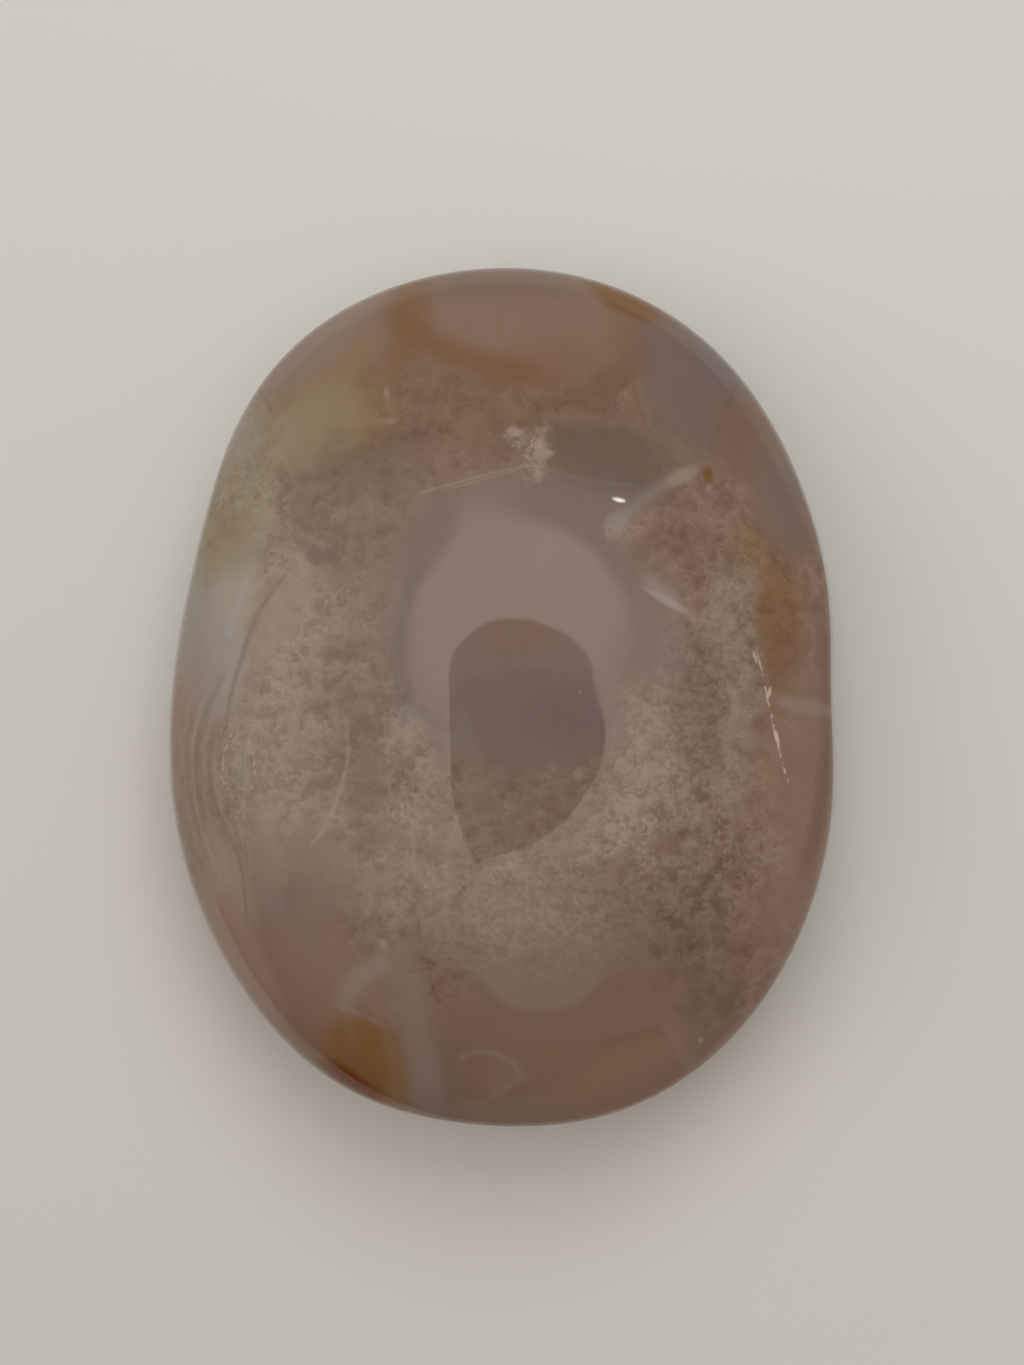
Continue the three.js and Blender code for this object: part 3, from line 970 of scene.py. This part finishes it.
@dataclass(frozen=True)
class QuartzGrain:
    """Sugary quartz: small crystals of uneven brightness, pale seams and dark cores.

    The scales are waves over a millimetre, the lights are shares of the brightness, and a span
    gives the noise values between which a part comes in.
    """

    cloud_scale: float = 0.4
    fine_scale: float = 2.4
    core_scale: float = 0.95
    crystal_scale: float = 0.85
    seam_scale: float = 1.1
    warp: float = 2.2
    base_light: float = 0.26
    crystal_light: float = 0.15
    fine_light: float = 0.44
    cloud_light: float = 0.6
    seam_light: float = 0.26
    border_light: float = 0.18
    seam_half_width: float = 0.045
    seam_least: float = 0.35
    seam_span: Span = (0.36, 0.62)
    border_span: Span = (0.34, 0.62)
    warmth: float = 0.22
    core_span: Span = (0.5, 0.7)
    core_tone: Rgb = (0.83, 0.77, 0.72)
    clump_core_share: float = -0.8
    clump_span: Span = (-0.05, 0.32)
    speck_span: Span = (0.4, 0.2)
    speck_chance: Span = (0.62, 0.7)
    dash_span: Span = (0.46, 0.55)

    def group(self) -> bpy.types.NodeTree:
        """Group that gives the grain's tint, its pushes and its textures.

        Each crystal is a warped cell with a random brightness and a pale border. The seams run
        where a fine noise passes its middle, and the cores are the peaks of a coarser one. Dark
        places are browner than pale ones. The specks are the middles of a few of the cells. The
        jag is a push that is the same all over one cell.

        Returns:
            The group's tree.
        """
        graph, got, out = new_group(
            "Quartz Grain",
            {"Place": SocketKind.VECTOR},
            {
                "Tint": SocketKind.COLOUR, "Jag": SocketKind.VECTOR, "Push": SocketKind.VECTOR,
                "Crystals": SocketKind.NUMBER, "Cores": SocketKind.NUMBER,
                "Specks": SocketKind.NUMBER, "Dashes": SocketKind.NUMBER,
            },
        )
        clouds = graph.noise(got["Place"], self.cloud_scale, rough=0.6).outputs[0]
        fine = graph.noise(got["Place"], self.fine_scale, detail=3.0, rough=0.66).outputs[0]
        cores = graph.noise(got["Place"], self.core_scale, detail=3.0, rough=0.65).outputs[0]
        push = graph.node("ShaderNodeCombineXYZ")
        graph.feed(push.inputs[0], graph.number("SUBTRACT", fine, NOISE_MIDDLE))
        graph.feed(push.inputs[1], graph.number("SUBTRACT", cores, NOISE_MIDDLE))
        warped = graph.vector("ADD", got["Place"], graph.scaled(push.outputs[0], self.warp))
        cell = graph.node("ShaderNodeTexVoronoi", feature="F1")
        graph.feed_all(cell, {"Vector": warped, "Scale": self.crystal_scale})
        chance = graph.node("ShaderNodeSeparateColor")
        graph.feed(chance.inputs[0], cell.outputs["Color"])

        seams = graph.noise(warped, self.seam_scale, detail=1.0, twist=0.9).outputs[0]
        seam = graph.number("ABSOLUTE", graph.number("SUBTRACT", seams, NOISE_MIDDLE))
        seam = graph.step(seam, self.seam_half_width, 0.0)
        shown = graph.step(clouds, *self.seam_span, low=self.seam_least)
        seam = graph.number("MULTIPLY", seam, shown)
        lift = graph.number("MULTIPLY_ADD", chance.outputs[0], self.crystal_light, self.base_light)
        lift = graph.number("MULTIPLY_ADD", fine, self.fine_light, lift)
        lift = graph.number("MULTIPLY_ADD", clouds, self.cloud_light, lift)
        lift = graph.number("MULTIPLY_ADD", seam, self.seam_light, lift)
        border = graph.step(cell.outputs["Distance"], *self.border_span, high=self.border_light)
        lift = graph.number("ADD", lift, border)
        light = graph.node("ShaderNodeCombineColor")
        red = graph.number("MULTIPLY_ADD", lift, 1 - self.warmth, self.warmth)
        blue = graph.number("MULTIPLY_ADD", lift, 1 + self.warmth, -self.warmth)
        graph.feed_all(light, {"Red": red, "Green": lift, "Blue": blue})
        depth = graph.step(cores, *self.core_span)
        sink = graph.mix(depth, (1.0, 1.0, 1.0), self.core_tone)
        graph.feed(out["Tint"], graph.mix(1.0, sink, light.outputs[0], "MULTIPLY"))

        graph.feed(out["Jag"], graph.vector("SUBTRACT", cell.outputs["Color"], COLOUR_MIDDLE))
        graph.feed(out["Push"], push.outputs[0])
        clumps = graph.number("MULTIPLY_ADD", cores, self.clump_core_share, fine)
        graph.feed(out["Crystals"], graph.step(clumps, *self.clump_span))
        graph.feed(out["Cores"], depth)
        dots = graph.step(cell.outputs["Distance"], *self.speck_span)
        specks = graph.number("MULTIPLY", dots, graph.step(chance.outputs[2], *self.speck_chance))
        graph.feed(out["Specks"], specks)
        graph.feed(out["Dashes"], graph.step(fine, *self.dash_span))
        return graph.tree


# The agate finish

@dataclass(frozen=True)
class MarkingPainter:
    """Paints markings in one material: its graph, the shared groups, the plans and the covers."""

    graph: Graph
    groups: dict[type, bpy.types.NodeTree]
    smooth: Socket
    ragged: Socket
    covers: dict[Cover, Socket]

    def lay(self, colour: object, markings: tuple[Marking, ...]) -> object:
        """Lays markings over a colour, one after the other.

        Args:
            colour: The colour below.
            markings: The markings, lowest first.

        Returns:
            The colour with the markings on it.
        """
        for marking in markings:
            strength = marking.strength
            if marking.cover is not Cover.FULL:
                strength = self.graph.number("MULTIPLY", self.covers[marking.cover], strength)
            node = self.graph.node("ShaderNodeGroup", node_tree=self.groups[type(marking)])
            shared = {
                "Place": self.ragged if marking.ragged else self.smooth,
                "Colour": colour,
                "Tone": marking.tone.value,
                "Strength": strength,
            }
            self.graph.feed_all(node, {**shared, **marking.settings()})
            colour = node.outputs["Colour"]
        return colour


@dataclass(frozen=True)
class AgateFinish:
    """Polished milky agate: quartz grain, smooth lobes, iron stains, veils and veins, and painted
    glints and sheen.

    The markings are columns through the stone: the place that they read is the plan, pushed
    about by noise, in millimetres from the middle of the stone's outline.
    """

    plan_middle: tuple[float, float, float]
    grain: QuartzGrain = QuartzGrain()
    body: Tone = Tone.QUARTZ
    roughness: float = 0.035
    core_roughness: float = 0.08
    refraction: float = 1.54
    scatter_share: float = 0.35
    scatter_depths: Rgb = (1.0, 0.7, 0.5)
    scatter_scale: float = 2.0 * MM
    calm_grain: float = 0.6
    calm_span: Span = (13.0, 20.0)
    waver_scale: float = 0.1
    waver: float = 0.8
    waver_below: float = 8.0
    waver_levels: Span = (11.0, 1.0)
    rim_jag: float = 0.06
    ragged_jag: float = 0.8
    ragged_push: float = 2.5
    band_centre: Plan = (-8.5, -6.0)
    band_spacing: float = 0.95
    band_drift_scale: float = 0.35
    band_drift: float = 2.5
    band_span: Span = (-0.2, 0.95)
    wall_sheen_levels: Span = (16.5, 15.3)

    def local_place(self, graph: Graph) -> Socket:
        """Reads the stone's own place in millimetres from the middle of its outline.

        Args:
            graph: The material's graph.

        Returns:
            The place.
        """
        own = graph.node("ShaderNodeTexCoord").outputs["Object"]
        local = graph.node("ShaderNodeMapping", vector_type="POINT")
        scale = (1 / MM, 1 / MM, 1 / MM)
        graph.feed_all(local, {"Vector": own, "Scale": scale, "Location": self.plan_middle})
        return local.outputs[0]

    def plans(self, graph: Graph, local: Socket, grain: Node) -> tuple[Socket, Socket]:
        """The plan that markings read, once with a smooth waver and once ragged along the grain.

        Below the girdle the waver grows, so that the underside shows the same lobes, distorted.

        Args:
            graph: The material's graph.
            local: The place in millimetres.
            grain: The grain group's node.

        Returns:
            The smooth and the ragged plan.
        """
        jag, push = grain.outputs["Jag"], grain.outputs["Push"]
        waver = graph.noise(local, self.waver_scale, detail=1.0).outputs["Color"]
        waver = graph.vector("SUBTRACT", waver, COLOUR_MIDDLE)
        level = graph.vector("DOT_PRODUCT", local, UP)
        reach = graph.step(level, *self.waver_levels, low=self.waver, high=self.waver_below)
        still = graph.vector("ADD", local, graph.scaled(waver, reach))
        smooth = graph.vector("ADD", still, graph.scaled(jag, self.rim_jag))
        rough = graph.vector("ADD", jag, graph.scaled(push, self.ragged_push))
        ragged = graph.vector("ADD", still, graph.scaled(rough, self.ragged_jag))
        plan = (1.0, 1.0, 0.0)
        return graph.vector("MULTIPLY", smooth, plan), graph.vector("MULTIPLY", ragged, plan)

    def grain_share(self, graph: Graph, place: Socket) -> Socket:
        """How strongly the grain shows: fully, and less towards the stone's upper end."""
        along = graph.vector("DOT_PRODUCT", place, (0.0, 1.0, 0.0))
        return graph.step(along, *self.calm_span, low=1.0, high=self.calm_grain)

    def wall(self, graph: Graph, local: Socket) -> Socket:
        """Mask of the levels at and below the shoulder of the ground wall, where a reflection is
        painted.
        """
        return graph.step(graph.vector("DOT_PRODUCT", local, UP), *self.wall_sheen_levels)

    def bands(self, graph: Graph, local: Socket, place: Socket) -> Socket:
        """Mask of fine growth bands: drifting waves of the distance from a place in the stone.

        Args:
            graph: The material's graph.
            local: The place in millimetres.
            place: The smooth plan.

        Returns:
            The mask.
        """
        reach = graph.vector("DISTANCE", place, (*self.band_centre, 0.0))
        drift = graph.noise(local, self.band_drift_scale).outputs[0]
        reach = graph.number("MULTIPLY_ADD", drift, self.band_drift * self.band_spacing, reach)
        turn = graph.number("MULTIPLY", reach, 2 * math.pi / self.band_spacing)
        return graph.step(graph.number("SINE", turn), *self.band_span)

    def build(self) -> bpy.types.Material:
        """Wires the whole material: the body's tints under the grain, the other markings on it.

        Returns:
            The agate material.
        """
        material = bpy.data.materials.new("polished agate")
        material.use_nodes = True
        graph = Graph(material.node_tree)
        graph.tree.nodes.clear()
        groups = {Patch: patch_group(), Vein: vein_group()}
        local = self.local_place(graph)
        grain = graph.node("ShaderNodeGroup", node_tree=self.grain.group())
        graph.feed(grain.inputs["Place"], local)
        smooth, ragged = self.plans(graph, local, grain)
        grained = (Cover.SPECKS, Cover.CRYSTALS, Cover.CORES, Cover.DASHES)
        covers = {kind: grain.outputs[kind.value] for kind in grained}
        covers[Cover.BANDS] = self.bands(graph, local, smooth)
        # The ground wall's band, for its painted reflection
        covers[Cover.WALL_SHEEN] = self.wall(graph, local)
        painter = MarkingPainter(graph, groups, smooth, ragged, covers)
        colour = painter.lay(self.body.value, BODY_TINTS)
        share = self.grain_share(graph, smooth)
        colour = graph.mix(share, colour, grain.outputs["Tint"], "MULTIPLY")
        for layer in (SMOOTH_ZONES, STAINS, VEINS, SPECKS):
            colour = painter.lay(colour, layer)
        shader = graph.node("ShaderNodeBsdfPrincipled")
        leave = graph.node("ShaderNodeOutputMaterial")
        graph.feed(leave.inputs["Surface"], shader.outputs[0])
        spread = self.core_roughness - self.roughness
        rough = graph.number("MULTIPLY_ADD", grain.outputs["Cores"], spread, self.roughness)
        graph.feed_all(shader, {
            "Base Color": colour,
            "Roughness": rough,
            "IOR": self.refraction,
            "Subsurface Weight": self.scatter_share,
            "Subsurface Radius": self.scatter_depths,
            "Subsurface Scale": self.scatter_scale,
        })
        return material


@dataclass
class PalmStone:
    """The one piece: the stone itself."""

    form: StoneForm = field(default_factory=StoneForm)
    around: int = 420
    top_rings: int = 150
    under_rings: int = 55

    def mesh(self) -> bpy.types.Mesh:
        """Builds the closed surface as rings of points between two poles.

        Returns:
            The mesh, in metres in the model's frame.
        """
        share, level = self.form.section(self.top_rings, self.under_rings)
        angle = np.arange(self.around) * (2 * math.pi / self.around)
        grid = self.form.place(share[1:-1, None], level[1:-1, None], angle[None, :])
        poles = self.form.place(share[[0, -1]], level[[0, -1]], np.zeros(2))
        points = np.concatenate([poles[:1], grid.reshape(-1, 3), poles[1:]])
        points = self.form.polished(points)
        points[:, :2] -= self.form.plan_middle()
        mesh = bpy.data.meshes.new("palm_stone_surface")
        mesh.from_pydata(points * MM, [], self.faces(len(share) - 2))
        mesh.polygons.foreach_set("use_smooth", np.ones(len(mesh.polygons), dtype=bool))
        mesh.update()
        return mesh

    def faces(self, rings: int) -> list[list[int]]:
        """Faces between neighbouring rings, with a fan at each pole, all facing out.

        Args:
            rings: Rings of points between the poles.

        Returns:
            The points of each face, by number.
        """
        ring = np.arange(self.around)
        following = np.roll(ring, -1)
        start = 1 + self.around * np.arange(rings - 1)[:, None]
        upper, lower = start, start + self.around
        corners = [upper + ring, lower + ring, lower + following, upper + following]
        quads = np.stack(corners, axis=-1)
        top = np.stack([np.zeros_like(ring), 1 + ring, 1 + following], axis=-1)
        last = 1 + self.around * (rings - 1)
        pole = np.full_like(ring, 1 + self.around * rings)
        bottom = np.stack([pole, last + following, last + ring], axis=-1)
        return [*quads.reshape(-1, 4).tolist(), *top.tolist(), *bottom.tolist()]

    def build(self) -> bpy.types.Object:
        """Makes the stone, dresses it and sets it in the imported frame.

        Returns:
            The stone's object.
        """
        stone = bpy.data.objects.new("palm_stone_polished", self.mesh())
        bpy.context.scene.collection.objects.link(stone)
        finish = AgateFinish(plan_middle=(*self.form.plan_middle(), 0.0))
        stone.data.materials.append(finish.build())
        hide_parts("palm_stone")
        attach(stone, "root")
        return stone


# The studio

# Kinds of ray that don't meet a card which only the polish shows
MIRRORED_ONLY = ("camera", "diffuse", "shadow", "transmission")


@dataclass(frozen=True)
class PlainFinish:
    """A plain matt finish for a piece of the stage, which may also glow."""

    name: str
    tone: Rgb
    roughness: float = 0.5
    specular: float = 0.5
    glow: Rgb = (1.0, 1.0, 1.0)
    glow_power: float = 0.0

    def build(self) -> bpy.types.Material:
        """Sets the values on the material's own shader.

        Returns:
            The material.
        """
        material = bpy.data.materials.new(self.name)
        material.use_nodes = True
        graph = Graph(material.node_tree)
        graph.feed_all(material.node_tree.nodes["Principled BSDF"], {
            "Base Color": self.tone,
            "Roughness": self.roughness,
            "Specular IOR Level": self.specular,
            "Emission Color": self.glow,
            "Emission Strength": self.glow_power,
        })
        return material


@dataclass(frozen=True)
class SkyGlow:
    """A soft bright area of the surroundings: an oval body that unit directions reach into."""

    centre: tuple[float, float, float]
    radii: tuple[float, float, float]
    edge: float
    tone: Rgb


@dataclass
class Studio:
    """Pale floor, soft surroundings, the camera straight above, its dark flag and the cards.

    Lengths are in millimetres and turns in degrees. The flag's outline and the glint's place are
    on the stone, where the polish shows them.
    """

    form: StoneForm
    floor_half_width: float = 1500.0
    floor_finish: PlainFinish = PlainFinish("pale floor", (0.66, 0.672, 0.625), 0.9, 0.1)
    dark_finish: PlainFinish = PlainFinish("dark card", (0.03, 0.03, 0.03), 0.8)
    bright_finish: PlainFinish = PlainFinish(
        "bright card", (0.8, 0.8, 0.8), glow=(1.0, 0.97, 0.92), glow_power=22.0
    )
    camera_plan: Plan = (0.78, 1.2)
    camera_level: float = 210.5
    frame_height_at_girdle: float = 111.8
    sensor: float = 36.0
    sky_tone: Rgb = (0.3, 0.315, 0.33)
    glows: tuple[SkyGlow, ...] = (
        SkyGlow((-0.15, 0.0, 1.0), (0.69, 0.38, 3.0), 0.25, (1.3, 1.0, 0.84)),
        SkyGlow((-0.9, 0.2, 0.5), (0.45, 0.5, 0.5), 0.5, (0.2, 0.25, 0.3)),
    )
    flag_above_camera: float = 2.0
    flag_outline: tuple[Plan, ...] = (
        (-4.05, 2.2), (-3.8, 3.4), (-3.0, 4.5), (-2.0, 5.35), (-1.0, 5.9), (0.2, 6.15), (2.2, 6.05),
        (4.0, 5.4), (5.6, 4.5), (6.6, 3.4), (7.05, 2.2), (7.2, 0.6), (7.6, -0.6), (7.95, -1.6),
        (8.05, -2.8), (7.9, -4.2), (7.5, -5.6), (6.9, -6.8), (6.1, -8.0), (4.7, -9.7), (3.2, -10.8),
        (1.6, -11.6), (0.0, -12.1), (-1.0, -12.4), (-1.9, -12.8), (-2.6, -11.6), (-3.2, -10.2),
        (-3.6, -8.6), (-3.9, -7.0), (-4.0, -4.0), (-4.0, -1.0),
    )
    glint_place: Plan = (9.1, 15.4)
    glint_radii: Plan = (0.5, 0.12)
    glint_turn: float = -12.0
    glint_level: float = 420.0
    glint_corners: int = 16
    screen_centre: Plan = (-70.0, -170.0)
    screen_half_width: float = 210.0
    screen_height: float = 220.0
    screen_turn: float = -12.0
    screen_fade: Span = (0.7, 0.03)
    key_place: tuple[float, float, float] = (35.0, 230.0, 360.0)
    key_size: float = 260.0
    key_power: float = 0.62

    def stage_piece(
        self, name: str, corners: np.ndarray, material: bpy.types.Material,
        hidden: tuple[str, ...] = (),
    ) -> bpy.types.Object:
        """Makes one flat piece of the stage.

        Args:
            name: The piece's name.
            corners: Its corners in order, in millimetres.
            material: Its material.
            hidden: Kinds of ray that don't meet it.

        Returns:
            The piece.
        """
        mesh = bpy.data.meshes.new(name)
        mesh.from_pydata(corners * MM, [], [list(range(len(corners)))])
        mesh.materials.append(material)
        piece = bpy.data.objects.new(name, mesh)
        bpy.context.scene.collection.objects.link(piece)
        for kind in hidden:
            setattr(piece, f"visible_{kind}", False)
        return piece

    def floor(self) -> bpy.types.Object:
        """Makes the plain pale floor."""
        square = np.array([(-1.0, -1.0, 0.0), (1.0, -1.0, 0.0), (1.0, 1.0, 0.0), (-1.0, 1.0, 0.0)])
        return self.stage_piece("floor", square * self.floor_half_width, self.floor_finish.build())

    def surroundings(self) -> None:
        """Lights the scene from all round: an even sky with soft glows added to it."""
        world = bpy.data.worlds.new("soft surroundings")
        bpy.context.scene.world = world
        world.use_nodes = True
        graph = Graph(world.node_tree)
        graph.tree.nodes.clear()
        ray = graph.node("ShaderNodeTexCoord").outputs["Generated"]
        light: object = self.sky_tone
        for glow in self.glows:
            local = graph.node("ShaderNodeMapping", vector_type="TEXTURE")
            graph.feed_all(local, {"Vector": ray, "Location": glow.centre, "Scale": glow.radii})
            length = graph.vector("LENGTH", local.outputs[0])
            share = graph.step(length, 1 + glow.edge, 1 - glow.edge)
            light = graph.mix(share, light, glow.tone, "ADD")
        back = graph.node("ShaderNodeBackground")
        graph.feed(back.inputs["Color"], light)
        leave = graph.node("ShaderNodeOutputWorld")
        graph.feed(leave.inputs["Surface"], back.outputs[0])

    def camera(self) -> bpy.types.Object:
        """Puts the camera straight above the stone, as the photograph was taken.

        The lens is as long as the sensor, times the camera's height over the girdle, over the
        length that the frame takes in there.

        Returns:
            The camera.
        """
        data = bpy.data.cameras.new("camera")
        data.sensor_width = self.sensor
        above_girdle = self.camera_level - self.form.girdle_level
        data.lens = self.sensor * above_girdle / self.frame_height_at_girdle
        camera = bpy.data.objects.new("camera", data)
        camera.location = [value * MM for value in (*self.camera_plan, self.camera_level)]
        bpy.context.scene.collection.objects.link(camera)
        bpy.context.scene.camera = camera
        return camera

    def mirrored(self, seen: np.ndarray, level: float) -> np.ndarray:
        """Where rays from the camera, mirrored by the dome, reach a level above the stone.

        A ray's direction less twice its part along the normal is the mirrored ray, which is
        followed up to the level.

        Args:
            seen: Places on the stone's plan where the rays strike, in millimetres.
            level: Height of the wanted places, in millimetres.

        Returns:
            The places at that level, in millimetres.
        """
        eye = np.array([*self.camera_plan, self.camera_level])
        hits = np.concatenate([seen, self.form.top_height(seen)[:, None]], axis=1)
        rays = hits - eye
        rays /= np.linalg.norm(rays, axis=1, keepdims=True)
        normals = self.form.top_normals(seen)
        rays -= 2 * np.sum(rays * normals, axis=1, keepdims=True) * normals
        return hits + rays * ((level - hits[:, 2]) / rays[:, 2])[:, None]

    def flag(self) -> bpy.types.Object:
        """Hangs a dark card at the camera, which the polished dome mirrors at its middle.

        Its outline is worked out with the mirror law from the outline that the photograph shows
        on the stone, so it keeps its place if the dome changes.

        Returns:
            The card.
        """
        level = self.camera_level + self.flag_above_camera
        corners = self.mirrored(np.array(self.flag_outline), level)
        return self.stage_piece("camera_flag", corners, self.dark_finish.build(), MIRRORED_ONLY)

    def glint(self) -> bpy.types.Object:
        """Hangs a small bright card, which the dome mirrors as one short glint.

        Its outline is an oval on the stone, carried up by the mirror law.

        Returns:
            The card.
        """
        turn = np.linspace(0.0, 2 * math.pi, self.glint_corners, endpoint=False)
        along, across = self.glint_radii[0] * np.cos(turn), self.glint_radii[1] * np.sin(turn)
        oval = np.stack(turned(along, across, -self.glint_turn), axis=-1)
        corners = self.mirrored(np.array(self.glint_place) + oval, self.glint_level)
        return self.stage_piece("glint_card", corners, self.bright_finish.build(), MIRRORED_ONLY)

    def screen(self) -> bpy.types.Object:
        """Stands a dark screen beyond the stone's lower end, which keeps light off from there.

        Its upper edge fades out over a share of its height: much at one end, little at the other.

        Returns:
            The screen.
        """
        middle, top = np.array(self.screen_centre), self.screen_height
        reach = np.array(turned(self.screen_half_width, 0.0, -self.screen_turn))
        left, right = middle - reach, middle + reach
        corners = np.array([(*left, 0.0), (*right, 0.0), (*right, top), (*left, top)])
        material = self.dark_finish.build()
        graph = Graph(material.node_tree)
        place = graph.node("ShaderNodeTexCoord").outputs["Object"]
        along = graph.vector("DOT_PRODUCT", place, (1.0, 0.0, 0.0))
        first, last = self.screen_fade
        solid = graph.step(along, left[0] * MM, right[0] * MM, low=1 - first, high=1 - last)
        level = graph.vector("DOT_PRODUCT", place, UP)
        solid = graph.number("MULTIPLY", solid, top * MM)
        shader = material.node_tree.nodes["Principled BSDF"]
        graph.feed(shader.inputs["Alpha"], graph.step(level, top * MM, solid))
        return self.stage_piece("dark_screen", corners, material, ("camera",))

    def key_lamp(self) -> bpy.types.Object:
        """Hangs a soft square lamp beyond the stone's upper end, out of the stone's reflections.

        Returns:
            The lamp, turned towards the stone.
        """
        data = bpy.data.lights.new("key_lamp", "AREA")
        data.size = self.key_size * MM
        data.energy = self.key_power
        lamp = bpy.data.objects.new("key_lamp", data)
        lamp.location = [value * MM for value in self.key_place]
        lamp.rotation_euler = Vector(self.key_place).to_track_quat("Z", "Y").to_euler()
        lamp.visible_glossy = False
        bpy.context.scene.collection.objects.link(lamp)
        return lamp

    def build(self) -> None:
        """Sets up the floor, the surroundings, the camera, the cards and the lamp."""
        self.floor()
        self.surroundings()
        self.camera()
        self.flag()
        self.glint()
        self.screen()
        self.key_lamp()
        bpy.context.scene.view_settings.view_transform = "Standard"


def main() -> None:
    """Builds the stone and the studio."""
    logging.basicConfig(level=logging.INFO, format="%(message)s")
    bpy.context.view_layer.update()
    stone = PalmStone()
    made = stone.build()
    LOG.info("%s: %d faces", made.name, len(made.data.polygons))
    Studio(form=stone.form).build()
    bpy.context.view_layer.update()


if __name__ == "__main__":
    main()
